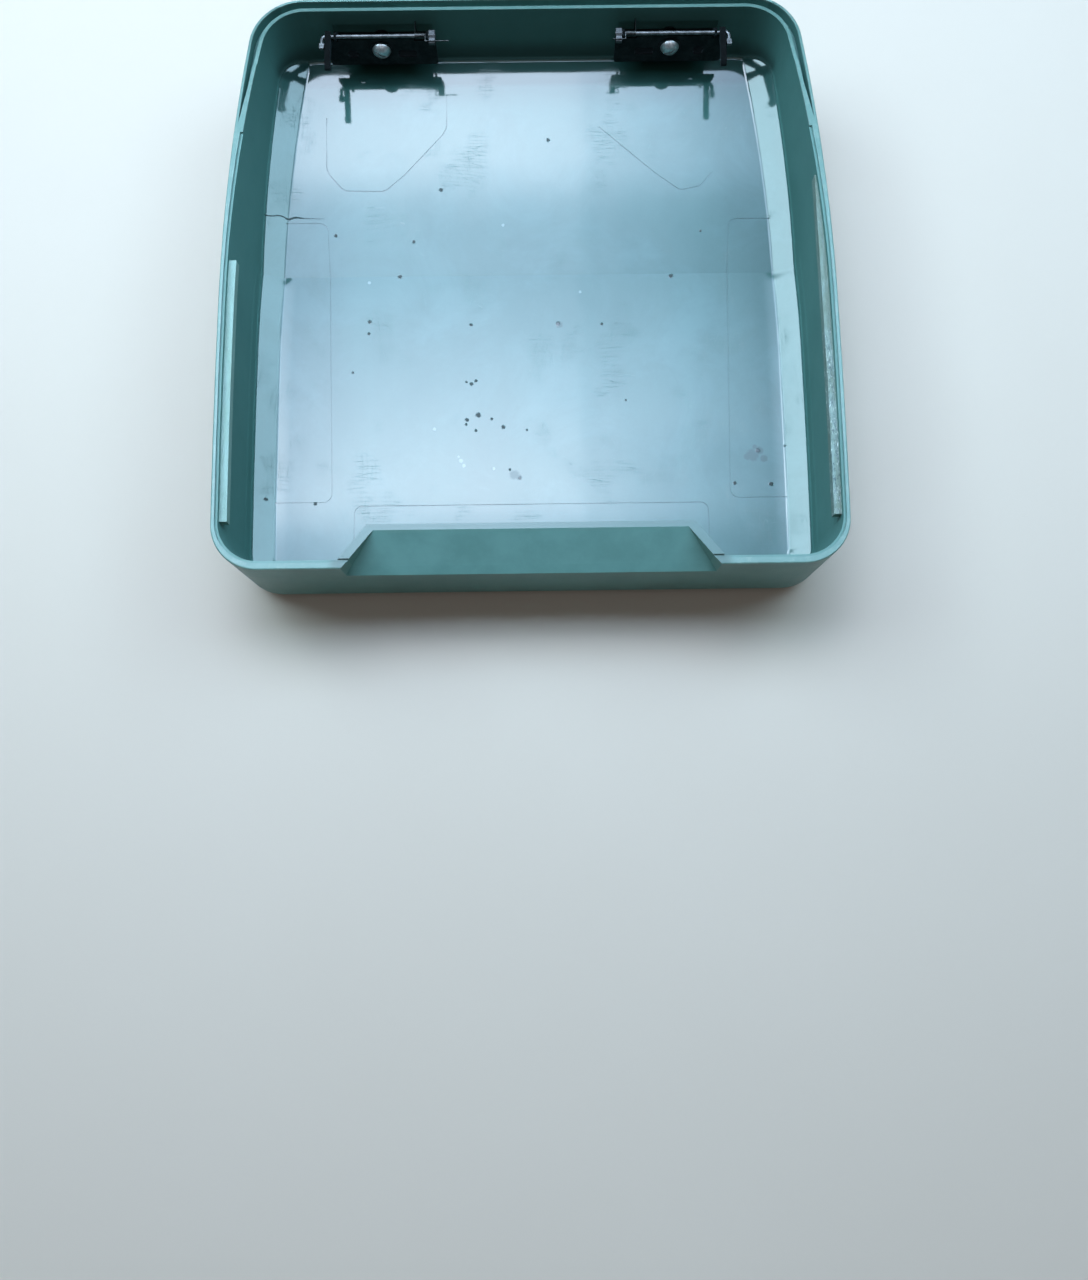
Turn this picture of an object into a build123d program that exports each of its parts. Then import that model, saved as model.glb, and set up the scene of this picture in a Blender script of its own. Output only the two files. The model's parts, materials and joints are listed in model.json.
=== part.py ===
from build123d import *
import os
import math

os.makedirs("parts", exist_ok=True)

# Lift-off cover of a portable typewriter case, lying open side up.
# Millimetres. X across, Y from the rear wall (-) to the front latch wall (+), Z up.
# Origin: middle of the cover's outline, on the surface that its flat outer top lies on.

# ---------------- driving dimensions ----------------
DEPTH = 310.0            # rear to front, outside
HEIGHT = 65.0            # flat outer top to rim
HALF_OUT = 153.7         # widest half width, outside
Y_WIDE = -15.0           # where the cover is widest
R_SIDE_REAR = 5086.0     # gentle bow of the side walls behind the widest point
R_SIDE_FRONT = 1124.0    # stronger taper of the side walls towards the front
CORNER_REAR = 23.0
CORNER_FRONT = 28.0

SKIN = 3.0               # thickness of the flat top and the sloping front part
HALF_IN = 150.6          # widest half width, inside
WALL_REAR = 4.4
WALL_FRONT = 6.7
R_SIDE_FRONT_IN = 801.0
CORNER_REAR_IN = 20.0
CORNER_FRONT_IN = 22.0

Y_CREASE = 30.3          # line where the flat top turns into the sloping part
SLOPE = 12.5             # degrees
DRAFT = 2.2              # the walls lean in by this much from the rim to the top
BEVEL_OUT = (13.8, 8.4)  # bevel between top and walls: width, height, outside
BEVEL_IN = (11.0, 7.0)
EDGE_R = 2.0             # moulded rounding of the edges between top, bevels and walls, outside
EDGE_R_IN = 2.5          # inside, along the sides only

LINE_W, LINE_D = 0.6, 0.2   # faint lines in the floor of the open cover
RECESS_HALF_RIM = 75.0   # hand recess in the rear wall
RECESS_HALF_WALL = 90.0
RECESS_DEPTH = 18.7
RECESS_DROP = 15.0

LIP = 1.6                # stepped front rim: outer lip, groove, inner ridge
RIDGE = 1.7
GROOVE_DEPTH = 6.0
GROOVE_Y = (81.0, 116.0) # the groove narrows along the sides and runs out between these

STRIP_W = 3.6            # guide strips inside the side walls
STRIP_Z = (56.4, 61.6)
STRIP_Y = (-130.0, 7.0)
STRIP_TAPER_Y = 51.0     # the right strip goes on straight and thins out against the bowed wall

LATCH_X = 76.0           # latch centre from the middle
ROD_Y = 139.3
ROD_Z = 56.5
ROD_D = 2.0
PLATE_T = 1.2
PLATE_TOP = 55.0
PLATE_BOT = 36.0
STUD_DX = -1.5           # stud and button, measured from the latch centre, outwards negative
STUD_Z = 47.5
STUD_D = 10.0
RIVET_X = (-17.3, 15.6)
RIVET_Z = 44.0
FINGER_X = (-30.1, -27.1)
TAB_X = (24.8, 28.0)
FINGER_LEN = 19.2
TAB_LEN = 4.7

BUTTON_W, BUTTON_H = 16.8, 10.8
BUTTON_GAP = 0.3
BUTTON_TRAVEL = 2.1
SHAFT_D = 5.0
BEZEL_W, BEZEL_H, BEZEL_T = 25.0, 17.0, 1.6
POCKET = 4.6             # depth of the pocket that the button cap moves in
CAP_T = 2.0

Y_REAR = -DEPTH / 2
Y_FRONT = DEPTH / 2
Y_FRONT_IN = Y_FRONT - WALL_FRONT
Y_REAR_IN = Y_REAR + WALL_REAR
RIVET_END = Y_FRONT - DRAFT * (HEIGHT - RIVET_Z) / HEIGHT     # flush with the leaning front wall


# ---------------- helpers ----------------
def side_x(y, half, r_rear, r_front):
    r = r_rear if y < Y_WIDE else r_front
    return half - r + math.sqrt(r * r - (y - Y_WIDE) ** 2)


def plan(half, r_rear, r_front, y_rear, y_front, c_rear, c_front):
    """Outline of the cover seen from above, as a face on Z = 0."""
    xr = side_x(y_rear, half, r_rear, r_front)
    xf = side_x(y_front, half, r_rear, r_front)
    ymr = (y_rear + Y_WIDE) / 2
    ymf = (y_front + Y_WIDE) / 2
    xmr = side_x(ymr, half, r_rear, r_front)
    xmf = side_x(ymf, half, r_rear, r_front)
    with BuildSketch() as sk:
        with BuildLine():
            Line((-xr, y_rear), (xr, y_rear))
            ThreePointArc((xr, y_rear), (xmr, ymr), (half, Y_WIDE))
            ThreePointArc((half, Y_WIDE), (xmf, ymf), (xf, y_front))
            Line((xf, y_front), (-xf, y_front))
            ThreePointArc((-xf, y_front), (-xmf, ymf), (-half, Y_WIDE))
            ThreePointArc((-half, Y_WIDE), (-xmr, ymr), (-xr, y_rear))
        make_face()
        vr = [v for v in sk.vertices() if abs(v.Y - y_rear) < 0.01]
        fillet(vr, c_rear)
        vf = [v for v in sk.vertices() if abs(v.Y - y_front) < 0.01]
        fillet(vf, c_front)
    return sk.sketch.faces()[0]


def outer_plan(d=0.0, front_extra=0.0):
    return plan(HALF_OUT + d, R_SIDE_REAR + d, R_SIDE_FRONT + d, Y_REAR - d,
                Y_FRONT + d + front_extra, CORNER_REAR + d, CORNER_FRONT + d)


def inner_plan(d=0.0, front_extra=0.0):
    return plan(HALF_IN + d, R_SIDE_REAR + d, R_SIDE_FRONT_IN + d, Y_REAR_IN - d,
                Y_FRONT_IN + d + front_extra, CORNER_REAR_IN + d, CORNER_FRONT_IN + d)


def frustum(face_low, face_high, h, loc):
    return loft([loc * face_low, loc * (Pos(0, 0, h) * face_high)], ruled=True)


def prism_yz(pts, half_x):
    """Prism along X from a polygon given as (y, z) points."""
    with BuildSketch(Plane.YZ) as sk:
        with BuildLine():
            Polyline(*pts, close=True)
        make_face()
    return extrude(sk.sketch, amount=half_x, both=True)


def box(x0, x1, y0, y1, z0, z1):
    return Pos((x0 + x1) / 2, (y0 + y1) / 2, (z0 + z1) / 2) * Box(x1 - x0, y1 - y0, z1 - z0)


def rod(p, q, d):
    """Round bar between two points."""
    p, q = Vector(*p), Vector(*q)
    v = q - p
    return extrude(Plane(origin=p, z_dir=v.normalized()) * Circle(d / 2), amount=v.length)


def cyl_y(x, z, y0, y1, r):
    return rod((x, y0, z), (x, y1, z), 2 * r)


def rounded_block_y(x, z, w, h, y0, y1, r):
    sk = Plane(origin=(x, y0, z), x_dir=(1, 0, 0), z_dir=(0, 1, 0)) * RectangleRounded(w, h, r)
    return extrude(sk, amount=y1 - y0)


def one(shape):
    """The single solid of a shape."""
    s = shape.solids()
    assert len(s) == 1, len(s)
    return s[0]


# ---------------- shell ----------------
sl = math.tan(math.radians(SLOPE))
slope_out = Plane(origin=(0, Y_CREASE, 0), x_dir=(1, 0, 0),
                  z_dir=(0, -math.sin(math.radians(SLOPE)), math.cos(math.radians(SLOPE))))

def block(plan_at, bevel, z0, z_top, tilt):
    """Drafted walls on the given outline, with bevels that follow the flat top and the sloping part."""
    h = z_top - z0
    w, bh = bevel
    big = 150.0
    low = plan_at(-DRAFT - w, 40)
    high = plan_at(-DRAFT - w + big * w / bh, 40)
    y_c = tilt.origin.Y
    body = frustum(plan_at(-DRAFT), plan_at(0), h, Location((0, 0, z0)))
    body = body - prism_yz([(y_c, z0), (y_c + 160, z0 + 160 * sl), (y_c + 160, -20), (y_c, -20)], 200)
    body = body & frustum(low, high, big, Location((0, 0, z0)))
    return body & frustum(Pos(0, -y_c, 0) * low, Pos(0, -y_c, 0) * high, big, Location(tilt))


y_crease_in = Y_CREASE - SKIN * math.tan(math.radians(SLOPE / 2))
slope_in = Plane(origin=(0, y_crease_in, SKIN), x_dir=(1, 0, 0), z_dir=slope_out.z_dir)
outer = block(outer_plan, BEVEL_OUT, 0.0, HEIGHT, slope_out)
inner = block(inner_plan, BEVEL_IN, SKIN, HEIGHT + SKIN, slope_in)


def soften(solid, r, z_top, crisp_front=False):
    """Round the edges of a convex block except its top outline and its tangent wall seams."""
    solid = solid.solids()[0]
    pick = []
    for e in solid.edges():
        b = e.bounding_box()
        if b.min.Z > z_top - 0.1:
            continue
        if b.size.Z > 5 * max(b.size.X, b.size.Y):
            continue
        if crisp_front and b.size.X > 100 and b.center().Y > 0:
            continue
        pick.append(e)
    return solid.fillet(r, pick)


outer = soften(outer, EDGE_R, HEIGHT)
outer = outer.fillet(0.7, [e for e in outer.edges() if e.bounding_box().min.Z > HEIGHT - 0.1])
inner = soften(inner, EDGE_R_IN, HEIGHT + SKIN, crisp_front=True)


# hand recess in the rear wall: a flat that leans inwards up to the rim
def recess(grow):
    slope_r = RECESS_DROP / RECESS_DEPTH
    drop = grow / math.cos(math.atan(slope_r))
    hw, hr, yr = RECESS_HALF_WALL + grow, RECESS_HALF_RIM + grow, Y_REAR + RECESS_DEPTH + grow
    flare = (RECESS_HALF_WALL - RECESS_HALF_RIM) / RECESS_DEPTH
    yo = Y_REAR - 12
    xo = hw + flare * (Y_REAR - yo + grow)
    with BuildSketch() as sk:
        with BuildLine():
            Polyline((-xo, yo), (xo, yo), (hr, yr), (-hr, yr), close=True)
        make_face()
    z_fold = HEIGHT - RECESS_DROP - drop
    keep = prism_yz([(yo, z_fold - slope_r * 12), (Y_REAR + 40, z_fold + slope_r * 40),
                     (Y_REAR + 40, HEIGHT + 30), (yo, HEIGHT + 30)], 130)
    return extrude(sk.sketch, amount=HEIGHT + 10) & keep


cut_out = recess(0.0)
cut_in = recess(SKIN)
cavity = inner - cut_in
shell = (outer - cut_out) - cavity

# small step along the inside of the rear and side rims
step = extrude(Pos(0, 0, HEIGHT - 1.0) * inner_plan(1.2), amount=3) - \
    extrude(Pos(0, 0, HEIGHT - 2.0) * inner_plan(-0.6), amount=5)
shell = shell - (step & box(-200, 200, -200, GROOVE_Y[0] - 4, 0, 100))

# stepped front rim: groove between an outer lip and an inner ridge
lip = outer_plan(-LIP)
ridge = inner_plan(RIDGE)
groove = extrude(Pos(0, 0, HEIGHT - GROOVE_DEPTH) * lip, amount=GROOVE_DEPTH + 1) - \
    extrude(Pos(0, 0, HEIGHT - GROOVE_DEPTH - 1) * ridge, amount=GROOVE_DEPTH + 3)
y_out, y_full = GROOVE_Y
x_lip = side_x(y_out, HALF_OUT - LIP, R_SIDE_REAR - LIP, R_SIDE_FRONT - LIP)
x_ridge = side_x(y_full, HALF_IN + RIDGE, R_SIDE_REAR + RIDGE, R_SIDE_FRONT_IN + RIDGE)
with BuildSketch() as sk:
    with BuildLine():
        Polyline((0, y_full), (x_ridge - 0.5, y_full), (x_lip + 0.1, y_out), (200, y_out), (200, 200),
                 (-200, 200), (-200, y_out), (-x_lip - 0.1, y_out), (-x_ridge + 0.5, y_full), close=True)
    make_face()
shell = shell - (groove & extrude(sk.sketch, amount=100))
# the ridge stands a little lower than the lip
low = extrude(Pos(0, 0, HEIGHT - 0.6) * inner_plan(RIDGE + 0.01), amount=3) & box(-200, 200, y_full, 200, 0, 100)
shell = shell - low

# faint lines in the floor: a rounded rectangle at the hand recess, one long field on
# each side, and a loop below each latch
def line_band(pts, radii):
    with BuildSketch() as sk:
        with BuildLine():
            FilletPolyline(*pts, radius=radii)
        trace(line_width=LINE_W)
    return extrude(sk.sketch, amount=60)


skin_of_floor = prism_yz([(-139.5, SKIN + 0.5), (y_crease_in, SKIN + 0.5), (y_crease_in + 105, SKIN + 0.5 + 105 * sl),
                          (y_crease_in + 105, SKIN - LINE_D + 105 * sl), (y_crease_in, SKIN - LINE_D),
                          (-139.5, SKIN - LINE_D)], 137.0)
for m in (-1, 1):
    side = line_band([(m * 138, 59.2), (m * 111.5, 59.2), (m * 106.3, -101.5), (m * 138, -101.5)], [5.0, 5.0])
    if m < 0:
        loop = line_band([(-111.3, 116), (-111.7, 87), (-102.4, 76.6), (-79.6, 76.1), (-68.5, 84.8), (-44.6, 108.7), (-44.3, 128)],
                         [8.0, 7.0, 7.0, 9.0, 9.0])
    else:
        loop = line_band([(39.8, 109.8), (71.0, 84.4), (84.8, 75.1), (96.0, 77.1), (102.8, 84.6)], [10.0, 5.0, 6.0])
    shell = shell - (side & skin_of_floor) - (loop & skin_of_floor)
shell = shell - (line_band([(-94.3, -146), (-94.3, -103.8), (94.3, -103.8), (94.3, -146)], [4.0, 4.0]) & skin_of_floor)

# flat seats for the latches on the drafted front wall
for m in (-1, 1):
    shell = shell - box(min(m * 50, m * 103), max(m * 50, m * 103), Y_FRONT_IN - 6, Y_FRONT_IN, 36.5, 55)

# openings for the push buttons and the rivets in the front wall
for s in (-1, 1):
    xb = s * (LATCH_X - STUD_DX)
    shell = shell - rounded_block_y(xb, STUD_Z, BEZEL_W, BEZEL_H, Y_FRONT - BEZEL_T, Y_FRONT + 1, 2.5)
    shell = shell - rounded_block_y(xb, STUD_Z, BUTTON_W + 2 * BUTTON_GAP, BUTTON_H + 2 * BUTTON_GAP,
                                    Y_FRONT - POCKET, Y_FRONT + 1, 3.0)
    shell = shell - cyl_y(xb, STUD_Z, Y_FRONT_IN - 1, Y_FRONT - POCKET + 1, SHAFT_D / 2 + 0.05)
    for rx in RIVET_X:
        xr_ = s * (LATCH_X - rx)
        shell = shell - cyl_y(xr_, RIVET_Z, Y_FRONT_IN - 1, RIVET_END - 1.4, 1.5)
        cone = Plane(origin=(xr_, RIVET_END - 1.5, RIVET_Z), x_dir=(1, 0, 0), z_dir=(0, 1, 0)) * \
            Cone(1.5, 3.2, 1.7, align=(Align.CENTER, Align.CENTER, Align.MIN))
        shell = shell - cone

shell = one(shell)

# ---------------- guide strips ----------------
ring = (inner & box(-200, 200, -200, 200, STRIP_Z[0], STRIP_Z[1])) - \
    extrude(Pos(0, 0, STRIP_Z[0] - 1) * inner_plan(-STRIP_W - 0.3), amount=STRIP_Z[1] - STRIP_Z[0] + 2)
left_strip = one(ring & box(-200, 0, STRIP_Y[0], STRIP_Y[1], 0, 100))
right_strip = (ring & box(0, 200, STRIP_Y[0], Y_WIDE, 0, 100))
with BuildSketch() as sk:
    with BuildLine():
        Polyline((HALF_IN - STRIP_W - 0.3, Y_WIDE), (200, Y_WIDE), (200, STRIP_TAPER_Y), (146.9, STRIP_TAPER_Y), close=True)
    make_face()
right_strip = one(right_strip + (extrude(Pos(0, 0, STRIP_Z[0]) * sk.sketch, amount=STRIP_Z[1] - STRIP_Z[0]) & inner))


# ---------------- one latch, drawn for the left side ----------------
def latch(tail):
    cx = -LATCH_X
    out = {}
    yb = Y_FRONT_IN                  # inner face of the front wall
    base_t = 1.0
    xs = cx + STUD_DX

    # fixed bracket: base on the wall, two ears for the rod, a stop flange behind the plate's lower edge
    base = rounded_block_y(cx - 0.3, 43.5, 50.6, 11.0, yb - base_t, yb, 1.5)
    ears = []
    for x0 in (-25.6, 23.3):
        ear = prism_yz([(yb, 47.2), (yb, 49.0), (ROD_Y + 1.5, ROD_Z + 1.6), (ROD_Y, ROD_Z + 2.2), (ROD_Y, ROD_Z - 2.2),
                        (ROD_Y + 1.6, ROD_Z - 2.2), (yb - 3.6, 47.2)], 0.6)
        ears.append(Pos(cx + x0 + 0.6, 0, 0) * ear + rod((cx + x0, ROD_Y, ROD_Z), (cx + x0 + 1.2, ROD_Y, ROD_Z), 4.4))
    flange = box(cx - 24.0, cx + 23.4, ROD_Y + PLATE_T / 2 + 0.1, yb - 0.3, 38.2, 39.2)
    bracket = base + ears[0] + ears[1] + flange
    bracket = bracket - rod((cx - 40, ROD_Y, ROD_Z), (cx + 40, ROD_Y, ROD_Z), ROD_D)
    bracket = bracket - cyl_y(xs, STUD_Z, yb - 3, yb + 1, 3.2)
    for rx in RIVET_X:
        bracket = bracket - cyl_y(cx + rx, RIVET_Z, yb - 3, yb + 1, 1.5)
    out["latch_bracket"] = one(bracket)

    # hinge rod with its outer end bent inwards
    xe, bend = -31.9, 2.0
    path = FilletPolyline((cx + 28.2, ROD_Y, ROD_Z), (cx + xe, ROD_Y, ROD_Z), (cx + xe, ROD_Y - 6.6, ROD_Z), radius=bend)
    rod_bar = sweep(Plane(origin=(cx + 28.2, ROD_Y, ROD_Z), z_dir=(-1, 0, 0)) * Circle(ROD_D / 2), path=path)
    foot = Pos(cx + xe, ROD_Y - 5.9, ROD_Z) * extrude(RectangleRounded(2.9, 3.4, 0.8), amount=0.9, both=True)
    foot = fillet([e for e in foot.edges() if abs(abs(e.center().Z - ROD_Z) - 0.9) < 0.01], 0.35)
    out["latch_rod"] = one(rod_bar + foot)

    # tilting catch plate: sheet below the rod, long hooked finger outside, short tab inside
    y0, y1 = ROD_Y - PLATE_T / 2, ROD_Y + PLATE_T / 2
    sheet = rounded_block_y(cx + (FINGER_X[0] + TAB_X[1]) / 2, (PLATE_BOT + PLATE_TOP) / 2,
                            TAB_X[1] - FINGER_X[0], PLATE_TOP - PLATE_BOT, y0, y1, 1.6)
    sheet = sheet - cyl_y(cx - 17.3, RIVET_Z, y0 - 1, y1 + 1, 3.0)
    sheet = sheet - rounded_block_y(cx + 12.0, RIVET_Z, 10.0, 5.0, y0 - 1, y1 + 1, 1.2)
    sheet = sheet - cyl_y(xs, STUD_Z, y0 - 1, y1 + 1, 2.0)
    # notches in its upper edge, for the bracket ears and the spring
    sheet = sheet - box(cx - 26.3, cx - 23.7, y0 - 1, y1 + 1, 53.7, 57) - box(cx + 16.6, cx + 24.8, y0 - 1, y1 + 1, 53.7, 57)

    def arm(x0, x1, length, barb):
        pts = [(ROD_Y + 1.9, ROD_Z + 1.9), (ROD_Y + 1.9, PLATE_BOT + 14), (ROD_Y - PLATE_T / 2, PLATE_BOT + 14),
               (ROD_Y - 1.9, ROD_Z - 1.9)]
        if barb:
            pts += [(ROD_Y - length + 3.6, ROD_Z - 1.5), (ROD_Y - length + 2.8, ROD_Z - 3.2),
                    (ROD_Y - length + 1.2, ROD_Z - 3.2), (ROD_Y - length, ROD_Z - 1.2),
                    (ROD_Y - length, ROD_Z - 0.2), (ROD_Y - length + 1.4, ROD_Z + 1.0),
                    (ROD_Y - 4.0, ROD_Z + 1.9)]
        else:
            pts += [(ROD_Y - length, ROD_Z - 1.4), (ROD_Y - length, ROD_Z + 0.2),
                    (ROD_Y - length + 0.6, ROD_Z + 0.6), (ROD_Y - 2.2, ROD_Z + 0.9), (ROD_Y - 1.0, ROD_Z + 1.9)]
        a = prism_yz(pts, (x1 - x0) / 2)
        return Pos(cx + (x0 + x1) / 2, 0, 0) * a

    plate = sheet + arm(FINGER_X[0], FINGER_X[1], FINGER_LEN, True) + arm(TAB_X[0], TAB_X[1], TAB_LEN, False)
    plate = plate - rod((cx - 40, ROD_Y, ROD_Z), (cx + 40, ROD_Y, ROD_Z), ROD_D + 0.12)
    out["catch_plate"] = one(plate)

    # domed stud and the ring under it, both fixed to the plate
    yw = y0 - 0.8
    ringw = cyl_y(xs, STUD_Z, yw, y0, 6.0) - cyl_y(xs, STUD_Z, yw - 1, y0 + 1, 2.0)
    out["stud_washer"] = one(ringw)
    h, r = 3.3, STUD_D / 2
    big = (r * r + h * h) / (2 * h)
    dome = (Pos(xs, yw - h + big, STUD_Z) * Sphere(big)) & cyl_y(xs, STUD_Z, yw - h - 1, yw, r)
    slot = Pos(xs, yw - h + 0.1, STUD_Z) * (Rot(0, 28, 0) * Box(14, 2.6, 1.3))
    out["catch_stud"] = one((dome + cyl_y(xs, STUD_Z, yw - 0.5, y1, 2.0)) - slot)

    # torsion spring round the rod: coil, fixed leg down the bracket, moving leg over the tab
    wire, rc, turns = 0.5, 1.36, 8
    x_a, x_b = cx + 17.5, cx + 22.9
    hel = Helix(pitch=(x_b - x_a) / turns, height=x_b - x_a, radius=rc, center=(x_a, ROD_Y, ROD_Z), direction=(1, 0, 0))
    p0, p1 = hel @ 0, hel @ 1
    spring = sweep(Plane(origin=p0, z_dir=hel % 0) * Circle(wire / 2), path=hel, is_frenet=True)
    for pts in ([p0, (p0.X, yb - base_t - 0.35, p0.Z), (p0.X, yb - base_t - 0.35, 47.2)],
                [p1, (p1.X, ROD_Y - 4.0, ROD_Z + 1.05), (cx + tail, ROD_Y - 4.0, ROD_Z + 1.05)]):
        for i in range(2):
            spring = spring + rod(tuple(pts[i]), tuple(pts[i + 1]), wire)
            spring = spring + Pos(*tuple(pts[i])) * Sphere(wire * 0.54)
    out["latch_spring"] = one(spring)

    # rivets through bracket and wall
    riv = []
    for rx in RIVET_X:
        x = cx + rx
        head_r, head_h = 2.7, 1.1
        rb = (head_r ** 2 + head_h ** 2) / (2 * head_h)
        head = (Pos(x, yb - base_t - head_h + rb, RIVET_Z) * Sphere(rb)) & \
            cyl_y(x, RIVET_Z, yb - base_t - head_h - 1, yb - base_t, head_r)
        body = head + cyl_y(x, RIVET_Z, yb - base_t - 0.3, RIVET_END - 1.5, 1.5)
        body = body + Plane(origin=(x, RIVET_END - 1.5, RIVET_Z), x_dir=(1, 0, 0), z_dir=(0, 1, 0)) * \
            Cone(1.5, 3.0, 1.5, align=(Align.CENTER, Align.CENTER, Align.MIN))
        riv.append(one(body))
    out["bracket_rivets"] = Compound(riv)

    # push button: cap outside, shaft through the wall, rounded nose behind the plate
    y_cap = Y_FRONT - 0.4
    cap = rounded_block_y(xs, STUD_Z, BUTTON_W, BUTTON_H, y_cap - CAP_T, y_cap, 2.7)
    front_edges = [e for e in cap.edges() if abs(e.center().Y - y_cap) < 0.01]
    cap = fillet(front_edges, 0.7)
    grip = [rounded_block_y(xs, STUD_Z + dz, BUTTON_W - 5.0, 0.8, y_cap - 0.4, y_cap + 0.4, 0.39) for dz in (-2.4, 0.0, 2.4)]
    for g in grip:
        cap = cap - g
    shaft = cyl_y(xs, STUD_Z, ROD_Y + 1.7, y_cap - 1.6, SHAFT_D / 2)
    nose_r = 6.0
    tip = ROD_Y + PLATE_T / 2 + 0.2
    nose = (Pos(xs, tip + nose_r, STUD_Z) * Sphere(nose_r)) & cyl_y(xs, STUD_Z, tip - 1, ROD_Y + 1.9, SHAFT_D / 2)
    button = cap + shaft + nose
    clip_y = (Y_FRONT_IN - base_t - 0.9, Y_FRONT_IN - base_t - 0.1)
    button = button - (cyl_y(xs, STUD_Z, clip_y[0], clip_y[1], 4.0) - cyl_y(xs, STUD_Z, clip_y[0] - 1, clip_y[1] + 1, 2.0))
    out["push_button"] = one(button)
    clip = cyl_y(xs, STUD_Z, clip_y[0], clip_y[1], 4.4) - cyl_y(xs, STUD_Z, clip_y[0] - 1, clip_y[1] + 1, 2.0)
    clip = clip - box(xs - 1.5, xs + 1.5, clip_y[0] - 1, clip_y[1] + 1, STUD_Z - 6, STUD_Z)
    out["button_clip"] = one(clip)

    bez = rounded_block_y(xs, STUD_Z, BEZEL_W, BEZEL_H, Y_FRONT - BEZEL_T, Y_FRONT, 2.5)
    bez = bez - rounded_block_y(xs, STUD_Z, BUTTON_W + 2 * BUTTON_GAP, BUTTON_H + 2 * BUTTON_GAP,
                                Y_FRONT - BEZEL_T - 1, Y_FRONT + 1, 3.0)
    out["button_bezel"] = one(bez)
    return out


# ---------------- assembly ----------------
nodes = {"cover_shell": shell, "left_guide_strip": left_strip, "right_guide_strip": right_strip}
for k, v in latch(35.4).items():
    nodes["left_" + k] = v
for k, v in latch(29.6).items():
    nodes["right_" + k] = mirror(v, about=Plane.YZ)

for name, solid in nodes.items():
    export_step(solid, f"parts/{name}.step")
    print(f"{name:24s} {solid.volume:12.2f} mm3")
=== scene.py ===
import bpy
import bmesh
import json
import math
from mathutils import Vector, Matrix, noise

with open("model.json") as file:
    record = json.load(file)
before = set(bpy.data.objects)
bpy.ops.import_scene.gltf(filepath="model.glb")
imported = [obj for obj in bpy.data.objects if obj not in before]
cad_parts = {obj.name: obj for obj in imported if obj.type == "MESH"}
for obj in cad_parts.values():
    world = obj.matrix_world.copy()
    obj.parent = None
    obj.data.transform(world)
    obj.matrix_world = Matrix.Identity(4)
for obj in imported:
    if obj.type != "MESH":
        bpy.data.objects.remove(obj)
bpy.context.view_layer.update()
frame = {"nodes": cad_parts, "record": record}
nodes = frame["nodes"]

MM = 0.001
CREASE_Y = 29.97         # mm, where the floor of the open cover starts to slope
SLOPE_TAN = 0.22169
SKIN = 3.0


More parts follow.
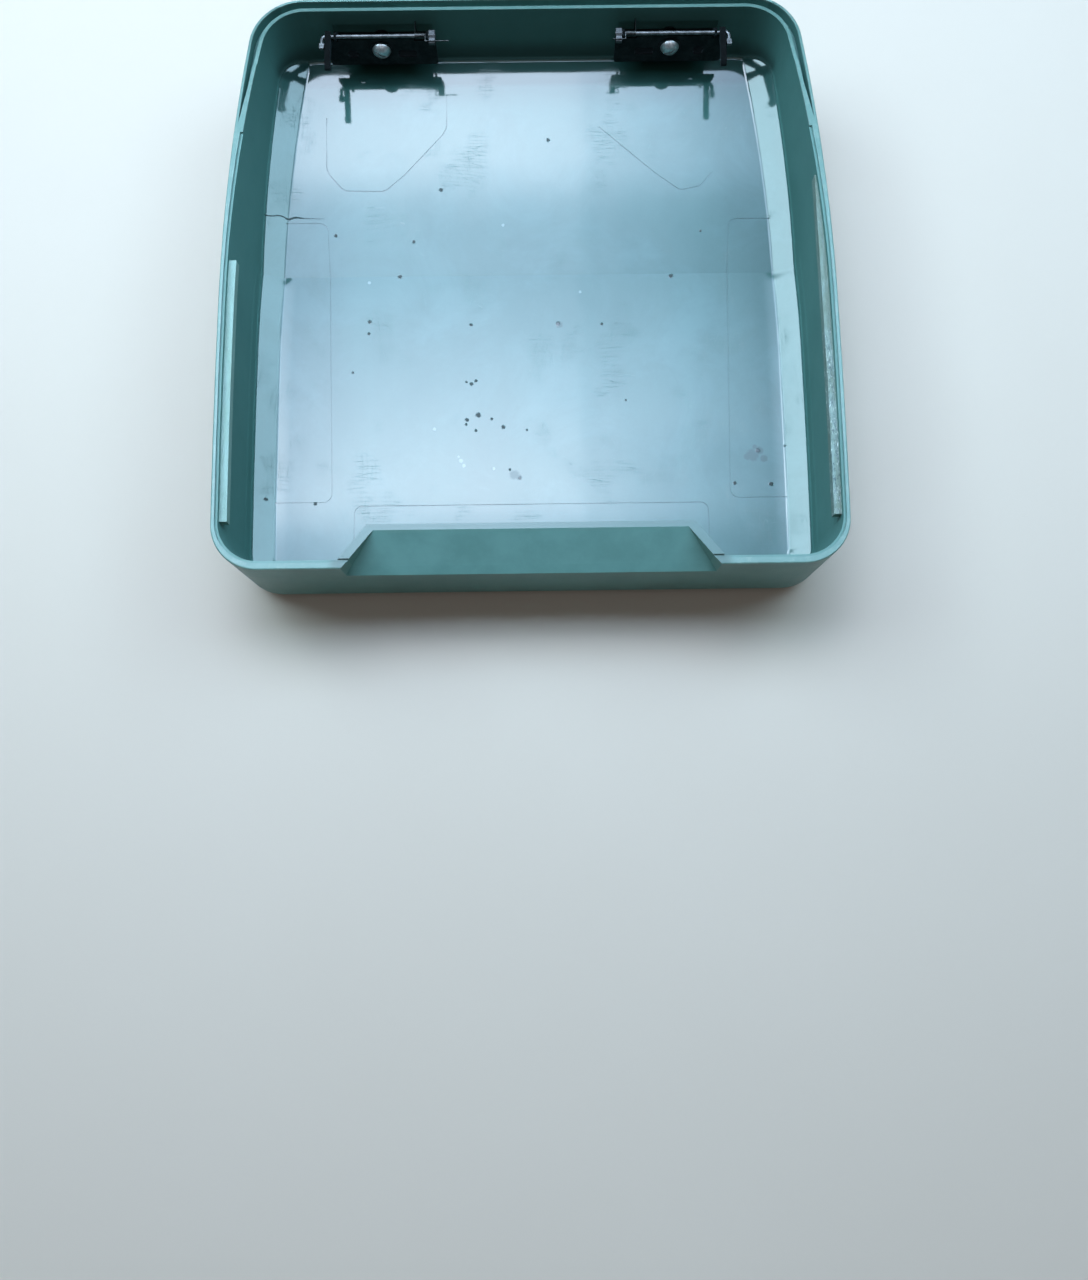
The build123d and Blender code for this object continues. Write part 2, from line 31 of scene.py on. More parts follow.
# ------------------------------------------------------------------ node helpers
class Graph:
    """Short way to write a material's nodes."""

    def __init__(self, name):
        self.mat = bpy.data.materials.new(name)
        self.mat.use_nodes = True
        self.nt = self.mat.node_tree
        self.nt.nodes.clear()
        self.out = self.nt.nodes.new("ShaderNodeOutputMaterial")
        self.bsdf = self.nt.nodes.new("ShaderNodeBsdfPrincipled")
        self.nt.links.new(self.bsdf.outputs[0], self.out.inputs[0])

    def node(self, kind, **props):
        n = self.nt.nodes.new(kind)
        for k, v in props.items():
            setattr(n, k, v)
        return n

    def put(self, socket, value):
        if isinstance(value, bpy.types.NodeSocket):
            self.nt.links.new(value, socket)
        else:
            socket.default_value = value

    def coords(self):
        return self.node("ShaderNodeTexCoord").outputs["Object"]

    def position(self):
        """Place on the object in millimetres."""
        return self.vmath("SCALE", self.coords(), scale=1000.0)

    def xyz(self, v):
        n = self.node("ShaderNodeSeparateXYZ")
        self.put(n.inputs[0], v)
        return n.outputs[0], n.outputs[1], n.outputs[2]

    def combine(self, x, y, z):
        n = self.node("ShaderNodeCombineXYZ")
        for s, v in zip(n.inputs, (x, y, z)):
            self.put(s, v)
        return n.outputs[0]

    def math(self, op, a, b=0.0, c=0.0, clamp=False):
        n = self.node("ShaderNodeMath", operation=op, use_clamp=clamp)
        for s, v in zip(n.inputs, (a, b, c)):
            self.put(s, v)
        return n.outputs[0]

    def vmath(self, op, a, b=None, scale=None):
        n = self.node("ShaderNodeVectorMath", operation=op)
        self.put(n.inputs[0], a)
        if b is not None:
            self.put(n.inputs[1], b)
        if scale is not None:
            n.inputs["Scale"].default_value = scale
        return n.outputs["Value"] if op in ("DISTANCE", "LENGTH", "DOT_PRODUCT") else n.outputs["Vector"]

    def ramp(self, v, lo, hi, a=0.0, b=1.0, smooth=True):
        """v from lo..hi to a..b."""
        n = self.node("ShaderNodeMapRange", interpolation_type="SMOOTHSTEP" if smooth else "LINEAR")
        self.put(n.inputs["Value"], v)
        for k, x in (("From Min", lo), ("From Max", hi), ("To Min", a), ("To Max", b)):
            n.inputs[k].default_value = x
        return n.outputs["Result"]

    def noise(self, v, scale, detail=4.0, rough=0.55, distortion=0.0, colour=False):
        n = self.node("ShaderNodeTexNoise")
        self.put(n.inputs["Vector"], v)
        n.inputs["Scale"].default_value = scale
        n.inputs["Detail"].default_value = detail
        n.inputs["Roughness"].default_value = rough
        n.inputs["Distortion"].default_value = distortion
        return n.outputs["Color" if colour else "Fac"]

    def voronoi(self, v, scale, feature="F1", random=1.0):
        n = self.node("ShaderNodeTexVoronoi", feature=feature)
        self.put(n.inputs["Vector"], v)
        n.inputs["Scale"].default_value = scale
        n.inputs["Randomness"].default_value = random
        return n

    def mix(self, fac, a, b, blend="MIX"):
        n = self.node("ShaderNodeMix", data_type="RGBA", blend_type=blend, clamp_factor=True)
        self.put(n.inputs[0], fac)
        self.put(n.inputs[6], a)
        self.put(n.inputs[7], b)
        return n.outputs[2]

    def lerp(self, fac, a, b):
        n = self.node("ShaderNodeMix", data_type="FLOAT", clamp_factor=True)
        self.put(n.inputs[0], fac)
        self.put(n.inputs[2], a)
        self.put(n.inputs[3], b)
        return n.outputs[0]

    def bump(self, height, distance, strength=1.0, normal=None):
        n = self.node("ShaderNodeBump")
        self.put(n.inputs["Height"], height)
        n.inputs["Distance"].default_value = distance
        n.inputs["Strength"].default_value = strength
        if normal is not None:
            self.put(n.inputs["Normal"], normal)
        return n.outputs["Normal"]

    def normal_xyz(self):
        return self.xyz(self.node("ShaderNodeNewGeometry").outputs["Normal"])

    def curve(self, v, points):
        """A number as a smooth function of v in 0..1."""
        n = self.node("ShaderNodeFloatCurve")
        c = n.mapping.curves[0]
        while len(c.points) > 2:
            c.points.remove(c.points[1])
        c.points[0].location = points[0]
        c.points[-1].location = points[-1]
        for p in points[1:-1]:
            c.points.new(*p)
        n.mapping.update()
        self.put(n.inputs["Value"], v)
        return n.outputs["Value"]


def c4(r, g, b):
    return (r, g, b, 1.0)


# ------------------------------------------------------------------ moulded plastic of the cover
def spots(g, flat, items, wobble):
    """0..1 mask of round spots at (x, y, radius) in mm on the floor, with uneven outlines."""
    best = None
    for x, y, r in items:
        d = g.vmath("DISTANCE", flat, (x, y, 0.0))
        d = g.math("DIVIDE", d, r)
        best = d if best is None else g.math("MINIMUM", best, d)
    best = g.math("ADD", best, g.math("MULTIPLY", g.math("SUBTRACT", wobble, 0.5), 0.9))
    return g.ramp(best, 0.65, 1.15, 1.0, 0.0)


def shell_material():
    g = Graph("teal_shell")
    p = g.position()
    x, y, z = g.xyz(p)
    nx, ny, nz = g.normal_xyz()
    flat = g.combine(x, y, 0.0)

    # the floor inside: faces up and lies low
    floor_z = g.math("ADD", SKIN, g.math("MULTIPLY", g.math("MAXIMUM", g.math("SUBTRACT", y, CREASE_Y), 0.0), SLOPE_TAN))
    above = g.math("SUBTRACT", z, floor_z)
    up = g.ramp(nz, 0.35, 0.75)
    low = g.ramp(above, 14.0, 18.0, 1.0, 0.0)
    floor = g.math("MULTIPLY", up, low)
    inside = g.math("MULTIPLY", g.ramp(above, -1.2, -0.8), g.math("MULTIPLY",
                    g.ramp(g.math("ABSOLUTE", x), 151.4, 151.9, 1.0, 0.0), g.ramp(g.math("ABSOLUTE", y), 150.2, 150.8, 1.0, 0.0)))

    # colour: one plastic, slightly cloudy, with faint flow streaks
    cloud = g.noise(p, 0.012, 5.0, 0.6)
    streak = g.noise(g.vmath("MULTIPLY", p, (0.05, 0.008, 0.02)), 1.0, 3.0, 0.5)
    tone = g.math("ADD", g.math("MULTIPLY", cloud, 0.65), g.math("MULTIPLY", streak, 0.35))
    col = g.mix(g.ramp(tone, 0.35, 0.65), c4(0.060, 0.180, 0.162), c4(0.082, 0.220, 0.199))
    fine = g.noise(p, 0.9, 3.0, 0.6)
    col = g.mix(g.ramp(fine, 0.3, 0.75, 0.0, 0.10), col, c4(0.04, 0.13, 0.12))

    # hazy film inside, where dust and cleaning left a paler bloom
    haze = g.math("MULTIPLY", g.ramp(g.noise(p, 0.018, 6.0, 0.62, 0.6), 0.42, 0.72), floor)
    col = g.mix(g.math("MULTIPLY", haze, 0.35), col, c4(0.16, 0.34, 0.34))

    # dirt in the moulded lines of the floor
    groove = g.math("MULTIPLY", g.ramp(above, -0.17, -0.04, 1.0, 0.0), g.math("MULTIPLY", up, g.ramp(above, -0.5, -0.3)))
    groove = g.math("MULTIPLY", groove, g.ramp(g.noise(p, 0.05, 3.0, 0.6), 0.35, 0.6, 0.25, 1.0))
    side_field = g.math("MULTIPLY", g.ramp(g.math("ABSOLUTE", x), 103.0, 104.0), g.ramp(y, 61.0, 63.0, 1.0, 0.0))
    groove = g.math("MULTIPLY", groove, g.lerp(side_field, 1.0, 0.35))
    groove = g.math("MULTIPLY", groove, g.lerp(g.ramp(x, 5.0, 15.0), 1.0, 0.6))
    plate_line = g.math("MULTIPLY", g.ramp(y, -96.0, -94.0, 1.0, 0.0), g.ramp(g.math("ABSOLUTE", x), 97.0, 98.0, 1.0, 0.0))
    col = g.mix(g.math("MULTIPLY", groove, g.lerp(plate_line, 0.55, 0.70)), col, c4(0.03, 0.08, 0.08))
    # painted highlight: a paler band on the floor just inside the bottom field's line
    painted_highlight_band = g.math("MULTIPLY", g.math("MULTIPLY", g.ramp(y, -105.2, -104.6, 1.0, 0.0), g.ramp(y, -109.5, -106.5)), g.ramp(g.math("ABSOLUTE", x), 86.0, 93.0, 1.0, 0.0))
    painted_highlight_band = g.math("MULTIPLY", g.math("MULTIPLY", painted_highlight_band, floor), g.ramp(g.noise(g.vmath("MULTIPLY", p, (0.02, 0.1, 0.1)), 1.0, 2.0, 0.5), 0.38, 0.6, 0.25, 1.0))
    col = g.mix(g.math("MULTIPLY", painted_highlight_band, 0.40), col, c4(0.12, 0.22, 0.21))

    # specks of dirt
    wob = g.noise(p, 0.9, 2.0, 0.5)
    dark = spots(g, flat, [(-48.4, 76.8, 1.1), (11.6, 103.0, 1.0), (-71.9, 29.9, 1.2), (79.3, 28.6, 1.3), (-88.2, 2.9, 1.2),
                           (-88.6, -4.2, 0.9), (-32.3, 0.4, 0.9), (15.8, 0.4, 1.3), (-29.6, -32.8, 0.9), (-34.8, -33.4, 0.7),
                           (-32.0, -34.6, 1.0), (-34.5, -55.4, 1.2), (-34.9, -58.0, 0.8), (-28.4, -52.6, 1.5), (-21.0, -55.0, 0.8),
                           (-14.8, -59.8, 1.2), (-29.6, -61.6, 0.8), (-6.0, -88.9, 0.8), (-11.5, -84.0, 0.8), (122.5, -75.0, 1.3),
                           (128.6, -94.0, 1.2), (109.3, -93.2, 1.0), (-141.4, -100.1, 1.0), (-107.3, 52.7, 1.0),
                           (-63.9, 48.9, 1.0), (40.0, 0.0, 0.8), (-115.4, -102.0, 0.9), (-2.0, -61.5, 0.6),
                           (137.2, -72.5, 0.8), (-97.0, -27.0, 0.7), (52.0, -45.0, 0.6), (96.0, 53.0, 0.7)], wob)
    smudge = spots(g, flat, [(119.5, -77.5, 3.6), (123.0, -75.0, 2.6), (116.5, -78.5, 2.0), (125.5, -79.5, 2.2), (121.0, -72.8, 1.4),
                             (-9.0, -87.0, 2.8), (-6.5, -88.5, 1.8), (16.5, 0.0, 2.2)], g.noise(p, 0.6, 5.0, 0.7))
    light = spots(g, flat, [(-14.1, 57.4, 0.9), (28.3, 19.5, 0.9), (-37.7, -78.8, 1.2), (-36.2, -81.6, 1.0), (-39.0, -76.4, 0.7),
                            (-89.0, 26.6, 1.0), (-20.0, -83.5, 0.9), (-52.0, -60.5, 1.0)], wob)
    col = g.mix(g.math("MULTIPLY", g.math("MULTIPLY", smudge, floor), 0.60), col, c4(0.035, 0.09, 0.09))
    col = g.mix(g.math("MULTIPLY", g.math("MULTIPLY", dark, floor), 0.9), col, c4(0.006, 0.016, 0.018))
    col = g.mix(g.math("MULTIPLY", g.math("MULTIPLY", light, floor), 0.55), col, c4(0.48, 0.62, 0.63))

    # hairline crack across the left bevel
    t = g.math("DIVIDE", g.math("ADD", x, 149.0), 36.0)
    line_y = g.math("ADD", 55.0, g.math("MULTIPLY", 10.0, g.curve(t, [
        (0.0, 0.47), (0.08, 0.50), (0.22, 0.60), (0.33, 0.74), (0.43, 0.68), (0.53, 0.76), (0.67, 0.72), (0.86, 0.69), (1.0, 0.68)])))
    width = g.math("MULTIPLY", 0.5, g.curve(t, [(0.0, 0.5), (0.3, 0.6), (0.40, 0.75), (0.47, 1.0), (0.56, 0.9), (0.66, 0.36), (0.85, 0.2), (1.0, 0.0)]))
    jag = g.math("MULTIPLY", g.math("SUBTRACT", g.noise(p, 1.1, 3.0, 0.6), 0.5), 0.9)
    off = g.math("ABSOLUTE", g.math("SUBTRACT", g.math("ADD", y, jag), line_y))
    crack = g.math("LESS_THAN", off, width)
    crack = g.math("MULTIPLY", crack, g.math("MULTIPLY", g.math("LESS_THAN", x, -113.5), g.math("GREATER_THAN", x, -149.0)))
    crack = g.math("MULTIPLY", crack, g.math("MULTIPLY", g.ramp(nz, 0.2, 0.4), low))
    col = g.mix(g.math("MULTIPLY", crack, 0.85), col, c4(0.01, 0.03, 0.034))

    # paler colour along the rim and on the outside's raised edges: partly wear, partly a painted highlight
    rim = g.ramp(z, 63.9, 64.25)
    scuff = g.ramp(g.noise(g.vmath("MULTIPLY", p, (1.0, 1.0, 1.0)), 0.16, 6.0, 0.7), 0.45, 0.7)
    col = g.mix(g.math("MULTIPLY", rim, g.lerp(scuff, 0.35, 0.75)), col, c4(0.21, 0.31, 0.275))

    # the hand recess is painted paler: painted light on the recess facet, partly hand wear too
    hand_wear_and_painted_light = g.math("MULTIPLY", g.math("MULTIPLY", g.ramp(g.math("ABSOLUTE", x), 84.0, 90.0, 1.0, 0.0), g.ramp(y, -135.5, -134.5, 1.0, 0.0)),
                  g.math("MULTIPLY", g.ramp(nz, 0.55, 0.70), g.ramp(above, 40.0, 44.0)))
    col = g.mix(g.math("MULTIPLY", hand_wear_and_painted_light, g.ramp(g.noise(p, 0.05, 5.0, 0.65), 0.3, 0.7, 0.55, 0.95)), col, c4(0.145, 0.325, 0.305))
    lip = g.math("MULTIPLY", g.math("MULTIPLY", g.ramp(g.math("ABSOLUTE", x), 92.0, 97.0, 1.0, 0.0), g.ramp(y, -133.5, -132.5, 1.0, 0.0)),
                 g.math("MULTIPLY", g.ramp(nz, 0.93, 0.98), g.ramp(above, 40.0, 44.0)))
    col = g.mix(g.math("MULTIPLY", lip, 0.85), col, c4(0.050, 0.115, 0.105))

    # fine hairline scratches, mainly where the case slides about
    s1 = g.voronoi(g.vmath("MULTIPLY", g.vmath("ADD", p, g.vmath("SCALE", g.noise(p, 0.01, 2.0, 0.5, colour=True), scale=18.0)),
                                   (0.02, 0.55, 0.2)), 1.0, "DISTANCE_TO_EDGE")
    s2 = g.voronoi(g.vmath("MULTIPLY", g.vmath("ADD", p, g.vmath("SCALE", g.noise(p, 0.013, 2.0, 0.5, colour=True), scale=25.0)),
                                   (0.45, 0.018, 0.2)), 1.0, "DISTANCE_TO_EDGE")
    hair = g.math("MAXIMUM", g.ramp(s1.outputs["Distance"], 0.0, 0.012, 1.0, 0.0), g.ramp(s2.outputs["Distance"], 0.0, 0.010, 1.0, 0.0))
    hair = g.math("MULTIPLY", hair, g.ramp(g.noise(p, 0.03, 3.0, 0.6), 0.52, 0.68))
    col = g.mix(g.math("MULTIPLY", hair, 0.16), col, c4(0.30, 0.48, 0.47))
    # the glossy floor is deeper in tone, and a painted shadow darkens the inside along the front wall
    col = g.mix(g.math("MULTIPLY", floor, 0.48), col, c4(0.012, 0.022, 0.022))
    front_wall_painted_shadow = g.math("MULTIPLY", g.ramp(g.math("ADD", y, g.math("MULTIPLY", g.noise(p, 0.06, 4.0, 0.6), 6.0)), 120.0, 134.0), g.math("MULTIPLY", inside, g.ramp(g.math("ABSOLUTE", x), 124.0, 140.0, 1.0, 0.45)))
    col = g.mix(g.math("MULTIPLY", front_wall_painted_shadow, 0.50), col, c4(0.014, 0.060, 0.052))
    # painted shade: the lower part of the front wall inside is darkened further
    painted_shade_low_front = g.math("MULTIPLY", g.math("MULTIPLY", g.ramp(y, 131.0, 134.5), inside), g.ramp(z, 34.0, 46.0, 1.0, 0.0))
    col = g.mix(g.math("MULTIPLY", painted_shade_low_front, 0.60), col, c4(0.008, 0.026, 0.023))

    # a painted highlight: a pale line along the rounded foot of each side bevel
    from_wide = g.math("ADD", y, 15.0)
    back = g.math("MINIMUM", from_wide, 0.0)
    fore = g.math("MAXIMUM", from_wide, 0.0)
    foot = g.math("SUBTRACT", 136.7, g.math("ADD", g.math("MULTIPLY", g.math("MULTIPLY", back, back), 0.000098),
                                            g.math("MULTIPLY", g.math("MULTIPLY", fore, fore), 0.00064)))
    past = g.math("SUBTRACT", g.math("ABSOLUTE", x), foot)
    painted_highlight_foot = g.math("MULTIPLY", g.math("MULTIPLY", g.ramp(past, -0.6, 0.3), g.ramp(past, 1.1, 1.9, 1.0, 0.0)),
                       g.math("MULTIPLY", g.ramp(y, 27.0, 30.0, 1.0, 0.0), g.math("MULTIPLY", low, g.ramp(nz, 0.6, 0.8))))
    col = g.mix(g.math("MULTIPLY", painted_highlight_foot, g.ramp(g.noise(p, 0.04, 4.0, 0.6), 0.3, 0.6, 0.20, 0.50)), col, c4(0.15, 0.26, 0.26))
    g.put(g.bsdf.inputs["Base Color"], col)

    # smooth floor, satin inner walls, finely grained outside
    rough_floor = g.math("ADD", 0.055, g.math("MULTIPLY", g.ramp(g.noise(p, 0.03, 6.0, 0.65), 0.35, 0.75), 0.045))
    rough_wall = g.math("ADD", 0.50, g.math("MULTIPLY", g.noise(p, 0.1, 4.0, 0.6), 0.12))
    rough_out = g.math("ADD", 0.34, g.math("MULTIPLY", g.noise(p, 0.06, 5.0, 0.6), 0.16))
    rough = g.lerp(inside, rough_out, rough_wall)
    rough = g.lerp(floor, rough, rough_floor)
    rough = g.lerp(rim, rough, 0.28)
    for m, v in ((dark, 0.6), (smudge, 0.22), (groove, 0.20), (crack, 0.8)):
        rough = g.lerp(g.math("MULTIPLY", m, floor), rough, v)
    rough = g.math("ADD", rough, g.math("MULTIPLY", hair, 0.08))
    g.put(g.bsdf.inputs["Roughness"], rough)
    g.bsdf.inputs["IOR"].default_value = 1.62

    # relief: slow waviness of the moulding, fine grain outside, crack and specks
    wave = g.bump(g.noise(p, 0.022, 2.0, 0.4), 0.0016, 0.09)
    toward = g.math("DIVIDE", g.math("ADD", past, 6.5), 6.5)
    toward = g.math("MINIMUM", g.math("MAXIMUM", toward, 0.0), 1.2)
    rise = g.math("MULTIPLY", g.math("MULTIPLY", toward, toward), g.math("MULTIPLY", g.ramp(y, 24.0, 30.0, 1.0, 0.0), low))
    wave = g.bump(rise, 0.00018, 1.0, wave)
    grain_mask = g.math("SUBTRACT", 1.0, inside)
    grain = g.math("MULTIPLY", g.noise(p, 2.6, 3.0, 0.65), g.lerp(grain_mask, 0.10, 1.0))
    grain = g.math("MULTIPLY", grain, g.lerp(floor, 1.0, 0.12))
    n1 = g.bump(grain, 0.00012, 0.55, wave)
    marks = g.math("SUBTRACT", g.math("MULTIPLY", g.math("MULTIPLY", dark, floor), 0.5), g.math("ADD", crack, g.math("MULTIPLY", hair, 0.15)))
    g.put(g.bsdf.inputs["Normal"], g.bump(marks, 0.0002, 0.6, n1))
    return g.mat


# ------------------------------------------------------------------ guide strips
def strip_material():
    g = Graph("strip_plastic")
    p = g.position()
    x, y, z = g.xyz(p)
    right = g.math("GREATER_THAN", x, 0.0)
    base = g.mix(right, c4(0.25, 0.385, 0.33), c4(0.155, 0.215, 0.175))
    cloud = g.noise(g.vmath("MULTIPLY", p, (0.3, 0.05, 0.3)), 1.0, 5.0, 0.6)
    col = g.mix(g.ramp(cloud, 0.35, 0.7, 0.0, 0.35), base, c4(0.34, 0.50, 0.51))
    # grime and old glue along the right strip's rear half
    along = g.math("MULTIPLY", right, g.ramp(y, -20.0, -60.0))
    grime = g.ramp(g.noise(g.vmath("MULTIPLY", p, (1.2, 0.35, 1.0)), 1.0, 6.0, 0.75), 0.50, 0.62)
    grime = g.math("MULTIPLY", grime, g.lerp(along, 0.12, 0.9))
    col = g.mix(grime, col, c4(0.03, 0.07, 0.08))
    scr = g.voronoi(g.vmath("MULTIPLY", p, (2.2, 0.12, 1.0)), 1.0, "DISTANCE_TO_EDGE")
    scr = g.math("MULTIPLY", g.ramp(scr.outputs["Distance"], 0.0, 0.06, 1.0, 0.0), g.ramp(g.noise(p, 0.2, 3.0, 0.6), 0.45, 0.6))
    col = g.mix(g.math("MULTIPLY", scr, g.lerp(along, 0.15, 0.9)), col, c4(0.80, 0.92, 0.90))
    g.put(g.bsdf.inputs["Base Color"], col)
    r = g.math("ADD", 0.42, g.math("MULTIPLY", g.noise(p, 0.5, 4.0, 0.6), 0.25))
    g.put(g.bsdf.inputs["Roughness"], g.lerp(g.math("MULTIPLY", grime, 0.8), r, 0.22))
    g.put(g.bsdf.inputs["Normal"], g.bump(g.math("ADD", g.noise(p, 1.4, 4.0, 0.7), g.math("MULTIPLY", scr, -0.6)), 0.0002, 0.7))
    return g.mat


# ------------------------------------------------------------------ metals and black plastic
def dark_steel_material():
    g = Graph("dark_steel")
    p = g.position()
    x, y, z = g.xyz(p)
    blot = g.noise(p, 0.22, 5.0, 0.65)
    col = g.mix(g.ramp(blot, 0.35, 0.7), c4(0.015, 0.021, 0.023), c4(0.028, 0.037, 0.040))
    geo = g.node("ShaderNodeNewGeometry")
    bev = g.node("ShaderNodeBevel", samples=6)
    bev.inputs["Radius"].default_value = 0.0005
    edge = g.vmath("DOT_PRODUCT", bev.outputs["Normal"], geo.outputs["Normal"])
    worn = g.math("MULTIPLY", g.ramp(edge, 0.985, 0.90), g.ramp(g.noise(p, 0.7, 4.0, 0.6), 0.42, 0.62))
    col = g.mix(g.math("MULTIPLY", worn, 0.3), col, c4(0.06, 0.066, 0.07))
    scr = g.voronoi(g.vmath("MULTIPLY", p, (0.35, 0.35, 3.2)), 1.0, "DISTANCE_TO_EDGE")
    scr = g.math("MULTIPLY", g.ramp(scr.outputs["Distance"], 0.0, 0.03, 1.0, 0.0), g.ramp(g.noise(p, 0.35, 2.0, 0.5), 0.52, 0.65))
    col = g.mix(g.math("MULTIPLY", scr, 0.25), col, c4(0.12, 0.125, 0.13))
    # the short inner tab is worn bare
    ax = g.math("ABSOLUTE", x)
    bare = g.math("MULTIPLY", g.math("MULTIPLY", g.ramp(ax, 47.5, 47.9), g.ramp(ax, 51.3, 51.7, 1.0, 0.0)), g.ramp(z, 54.6, 55.4))
    bare = g.math("MULTIPLY", bare, g.ramp(g.noise(p, 0.8, 5.0, 0.7), 0.25, 0.5, 0.55, 1.0))
    g.put(g.bsdf.inputs["Metallic"], g.lerp(bare, 0.0, 0.9))
    g.bsdf.inputs["Specular IOR Level"].default_value = 0.008
    nx, ny, nz = g.normal_xyz()
    # painted shade: faces turned up are darkened
    col = g.mix(g.ramp(nz, 0.5, 0.85, 0.0, 0.88), col, c4(0.003, 0.003, 0.003))
    # painted shade: the parts behind and below the rod are darkened
    painted_shade_behind_rod = g.math("MULTIPLY", g.ramp(y, 141.2, 142.0), g.ramp(z, 51.0, 53.5, 1.0, 0.0))
    col = g.mix(g.math("MULTIPLY", painted_shade_behind_rod, 0.8), col, c4(0.004, 0.005, 0.005))
    g.put(g.bsdf.inputs["Base Color"], g.mix(bare, col, c4(0.11, 0.11, 0.115)))
    r = g.math("ADD", 0.42, g.math("MULTIPLY", g.noise(p, 0.8, 5.0, 0.65), 0.28))
    g.put(g.bsdf.inputs["Roughness"], g.lerp(worn, r, 0.3))
    g.put(g.bsdf.inputs["Normal"], g.bump(g.noise(p, 3.0, 3.0, 0.6), 0.00008, 0.5, bev.outputs["Normal"]))
    return g.mat


def bright_steel_material(name, lo, hi, r0=0.32):
    g = Graph(name)
    p = g.position()
    blot = g.noise(p, 0.45, 6.0, 0.7)
    col = g.mix(g.ramp(blot, 0.36, 0.66), c4(lo, lo, lo * 1.02), c4(hi, hi, hi * 1.02))
    tarnish = g.ramp(g.noise(p, 1.3, 4.0, 0.7), 0.55, 0.72)
    col = g.mix(g.math("MULTIPLY", tarnish, 0.6), col, c4(0.055, 0.05, 0.048))
    g.put(g.bsdf.inputs["Base Color"], col)
    g.bsdf.inputs["Metallic"].default_value = 0.9
    g.put(g.bsdf.inputs["Roughness"], g.math("ADD", r0, g.math("MULTIPLY", g.noise(p, 1.0, 5.0, 0.65), 0.26)))
    g.put(g.bsdf.inputs["Normal"], g.bump(g.noise(g.vmath("MULTIPLY", p, (0.6, 4.0, 4.0)), 1.0, 3.0, 0.6), 0.00006, 0.6))
    return g.mat


def spring_material():
    g = Graph("spring_wire")
    p = g.position()
    col = g.mix(g.ramp(g.noise(p, 1.1, 4.0, 0.6), 0.4, 0.65), c4(0.05, 0.05, 0.05), c4(0.13, 0.13, 0.13))
    x, y, z = g.xyz(p)
    # painted shade: the coil behind the rod is darkened
    col = g.mix(g.ramp(y, 139.2, 139.8, 0.0, 0.92), col, c4(0.012, 0.014, 0.014))
    g.put(g.bsdf.inputs["Base Color"], col)
    g.bsdf.inputs["Metallic"].default_value = 1.0
    g.put(g.bsdf.inputs["Roughness"], g.math("ADD", 0.25, g.math("MULTIPLY", g.noise(p, 2.0, 3.0, 0.6), 0.25)))
    g.put(g.bsdf.inputs["Normal"], g.bump(g.noise(p, 5.0, 2.0, 0.5), 0.00004, 0.5))
    return g.mat


def black_plastic_material():
    g = Graph("black_plastic")
    p = g.position()
    col = g.mix(g.ramp(g.noise(p, 0.3, 5.0, 0.6), 0.35, 0.7), c4(0.008, 0.0085, 0.009), c4(0.020, 0.021, 0.022))
    bev = g.node("ShaderNodeBevel", samples=6)
    bev.inputs["Radius"].default_value = 0.0006
    geo = g.node("ShaderNodeNewGeometry")
    edge = g.vmath("DOT_PRODUCT", bev.outputs["Normal"], geo.outputs["Normal"])
    worn = g.math("MULTIPLY", g.ramp(edge, 0.985, 0.90), g.ramp(g.noise(p, 0.5, 4.0, 0.6), 0.35, 0.6))
    col = g.mix(g.math("MULTIPLY", worn, 0.5), col, c4(0.06, 0.062, 0.064))
    g.put(g.bsdf.inputs["Base Color"], col)
    g.put(g.bsdf.inputs["Roughness"], g.math("ADD", 0.36, g.math("MULTIPLY", g.noise(p, 0.9, 5.0, 0.6), 0.2)))
    g.put(g.bsdf.inputs["Normal"], g.bump(g.noise(p, 3.2, 4.0, 0.7), 0.0001, 0.5, bev.outputs["Normal"]))
    return g.mat


MATERIALS = {"teal_shell": shell_material(), "strip_plastic": strip_material(), "dark_steel": dark_steel_material(),
             "bright_steel": bright_steel_material("bright_steel", 0.10, 0.22),
             "stud_steel": bright_steel_material("stud_steel", 0.50, 0.82, 0.21), "spring_wire": spring_material(), "black_plastic": black_plastic_material()}
SLOTS = {r["node"]: r["material_slot"] for r in frame["record"]["subparts"]}
for name, obj in nodes.items():
    mat = MATERIALS["stud_steel" if name.endswith("catch_stud") else SLOTS[name]]
    if obj.material_slots:
        for s in obj.material_slots:
            s.material = mat
    else:
        obj.data.materials.append(mat)


# ------------------------------------------------------------------ floor, light, camera
def stage_floor():
    me = bpy.data.meshes.new("studio_floor")
    bm = bmesh.new()
    r = 4.0
    vs = [bm.verts.new((sx * r, sy * r, -0.0002)) for sx, sy in ((-1, -1), (1, -1), (1, 1), (-1, 1))]
    bm.faces.new(vs)
    bm.to_mesh(me)
    bm.free()
    ob = bpy.data.objects.new("studio_floor", me)
    bpy.context.scene.collection.objects.link(ob)
    g = Graph("studio_floor")
    p = g.position()
    col = g.mix(g.noise(p, 0.004, 4.0, 0.6), c4(0.60, 0.50, 0.425), c4(0.63, 0.53, 0.455))
    g.put(g.bsdf.inputs["Base Color"], col)
    g.put(g.bsdf.inputs["Roughness"], g.math("ADD", 0.6, g.math("MULTIPLY", g.noise(p, 0.02, 3.0, 0.5), 0.15)))
    me.materials.append(g.mat)


stage_floor()


def area(name, loc, target, sx, sy, power, colour):
    data = bpy.data.lights.new(name, "AREA")
    data.shape = "RECTANGLE"
    data.size, data.size_y = sx, sy
    data.energy = power
    data.color = colour
    ob = bpy.data.objects.new(name, data)
    ob.location = loc
    d = Vector(target) - Vector(loc)
    ob.rotation_euler = d.to_track_quat("-Z", "Y").to_euler()
    ob.visible_camera = False
    bpy.context.scene.collection.objects.link(ob)
    return ob


def radiance(sx, sy, level):
    """Power in watts of a rectangle whose face is level times as bright as white."""
    return level * sx * sy * math.pi


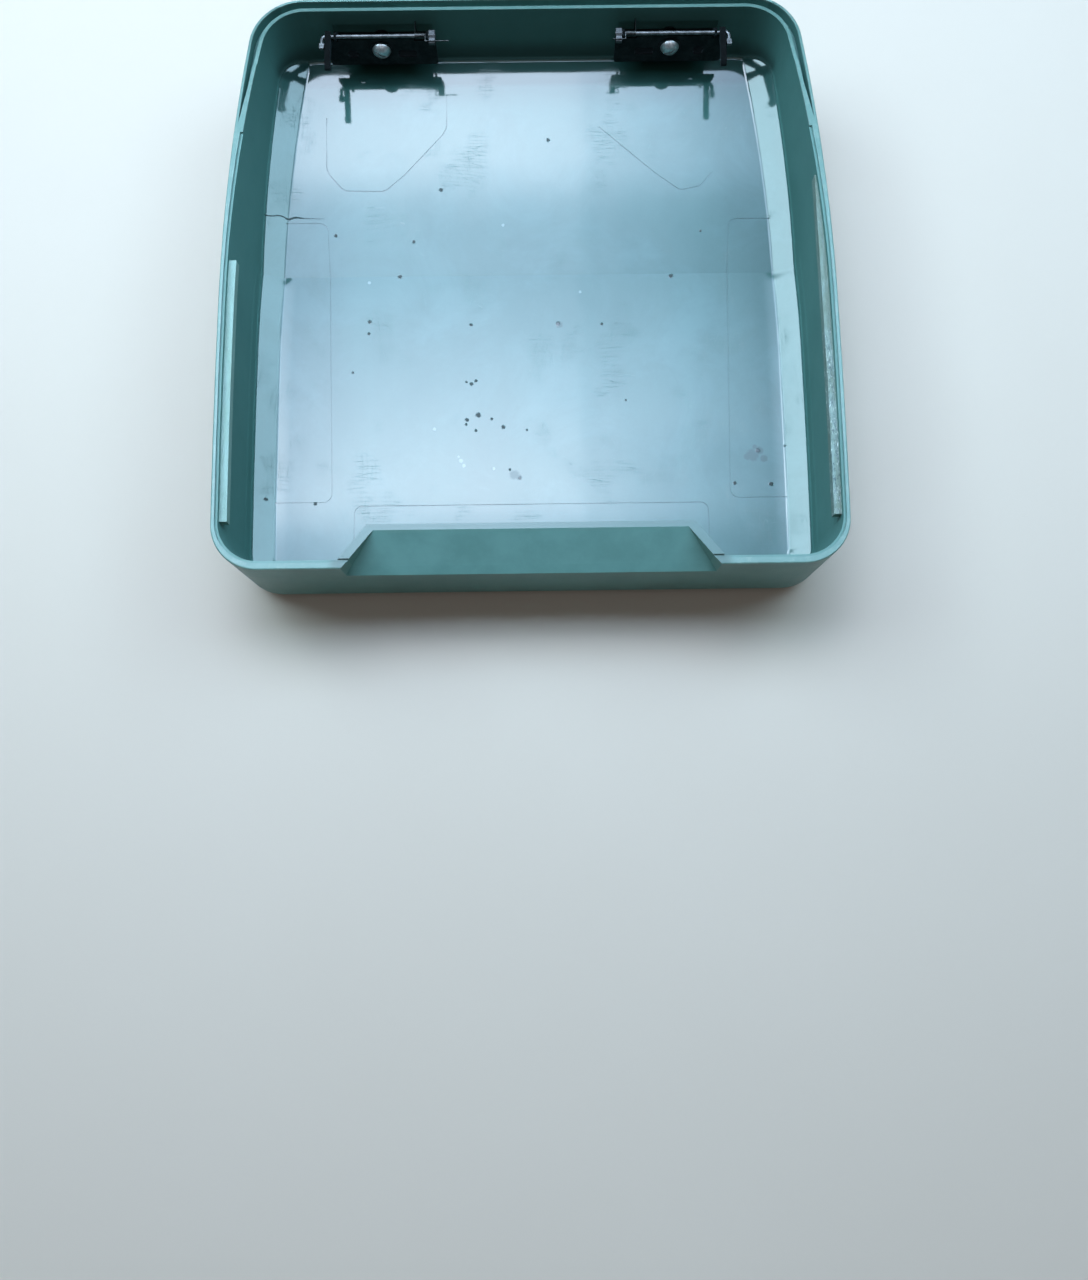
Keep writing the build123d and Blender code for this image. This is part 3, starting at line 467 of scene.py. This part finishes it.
class LightGraph(Graph):
    """Nodes that shape the brightness of a light over its face."""

    def __init__(self, data):
        data.use_nodes = True
        self.nt = data.node_tree
        self.nt.nodes.clear()
        self.out = self.nt.nodes.new("ShaderNodeOutputLight")
        self.em = self.nt.nodes.new("ShaderNodeEmission")
        self.nt.links.new(self.em.outputs[0], self.out.inputs[0])


# one broad soft panel above the far side, brightest left of its middle, and a low strip on each side
panel = area("panel", (0.0, 0.435, 1.20), (0.0, 0.435, 0.0), 1.0, 0.77, radiance(1.0, 0.77, 1.0), (1.0, 1.0, 1.0))
lg = LightGraph(panel.data)
px, py, pz = lg.xyz(lg.node("ShaderNodeNewGeometry").outputs["Position"])
across = lg.curve(lg.math("ADD", px, 0.5), [
    (0.0, 0.54), (0.06, 0.74), (0.115, 0.86), (0.18, 0.94), (0.25, 0.98), (0.41, 1.0), (0.48, 0.97), (0.55, 0.93), (0.575, 0.90),
    (0.592, 0.79), (0.61, 0.81), (0.65, 0.76), (0.707, 0.71), (0.783, 0.57), (0.858, 0.43), (0.92, 0.34), (1.0, 0.28)])
along = lg.curve(lg.math("DIVIDE", py, 0.9), [
    (0.0, 0.50), (0.06, 0.52), (0.16, 0.58), (0.21, 0.57), (0.245, 0.62), (0.28, 0.76), (0.317, 0.94), (0.345, 1.0), (0.40, 0.97),
    (0.455, 0.92), (0.533, 0.83), (0.594, 0.76), (0.644, 0.70), (0.717, 0.61), (0.767, 0.56), (0.9, 0.45), (1.0, 0.40)])
near_right = lg.math("MULTIPLY", lg.ramp(px, 0.04, 0.30), lg.ramp(py, 0.36, 0.46, 1.0, 0.0))
shape = lg.math("MULTIPLY", lg.math("MULTIPLY", across, along), lg.lerp(near_right, 1.0, 0.80))
lg.put(lg.em.inputs["Strength"], lg.math("MULTIPLY", shape, 11.0))
lg.put(lg.em.inputs["Color"], lg.mix(shape, c4(0.60, 1.0, 1.47), c4(0.84, 1.0, 1.20)))
area("strip_left", (-0.75, 0.42, 0.82), (0.05, 0.42, 0.0), 0.86, 0.22, radiance(0.86, 0.22, 9.0), (0.665, 0.975, 1.14))
area("strip_right", (0.75, 0.42, 0.82), (-0.05, 0.42, 0.0), 0.86, 0.22, radiance(0.86, 0.22, 5.8), (0.64, 1.02, 1.28))
area("gap_left", (-0.63, 0.42, 1.06), (-0.10, 0.42, 0.45), 0.86, 0.30, radiance(0.86, 0.30, 5.5), (0.70, 0.98, 1.18))
area("gap_right", (0.63, 0.42, 1.06), (0.10, 0.42, 0.45), 0.86, 0.30, radiance(0.86, 0.30, 4.4), (0.66, 1.0, 1.24))
area("fill_rear", (0.0, -0.80, 2.1), (0.0, -0.15, 0.0), 2.2, 1.2, radiance(2.2, 1.2, 0.42), (1.0, 0.99, 0.97))

world = bpy.data.worlds.new("studio")
bpy.context.scene.world = world
world.use_nodes = True
wn = world.node_tree
bg = wn.nodes["Background"]
tc = wn.nodes.new("ShaderNodeTexCoord")
sep = wn.nodes.new("ShaderNodeSeparateXYZ")
mr = wn.nodes.new("ShaderNodeMapRange")
wn.links.new(tc.outputs["Generated"], sep.inputs[0])
wn.links.new(sep.outputs["Y"], mr.inputs["Value"])
for k, v in (("From Min", -0.9), ("From Max", 0.9), ("To Min", 0.10), ("To Max", 0.15)):
    mr.inputs[k].default_value = v
wn.links.new(mr.outputs["Result"], bg.inputs["Strength"])
bg.inputs["Color"].default_value = (0.90, 0.95, 1.0, 1.0)

cam_data = bpy.data.cameras.new("camera")
cam_data.sensor_width = 36.0
cam_data.lens = 31.5
cam = bpy.data.objects.new("camera", cam_data)
cam.location = (0.0042, -0.2942, 0.575)
cam.rotation_euler = (math.radians(11.5), 0.0, math.radians(-0.75))
bpy.context.scene.collection.objects.link(cam)
bpy.context.scene.camera = cam
cam_data.clip_start = 0.01

bpy.context.scene.view_settings.view_transform = "Standard"
bpy.context.scene.view_settings.look = "None"
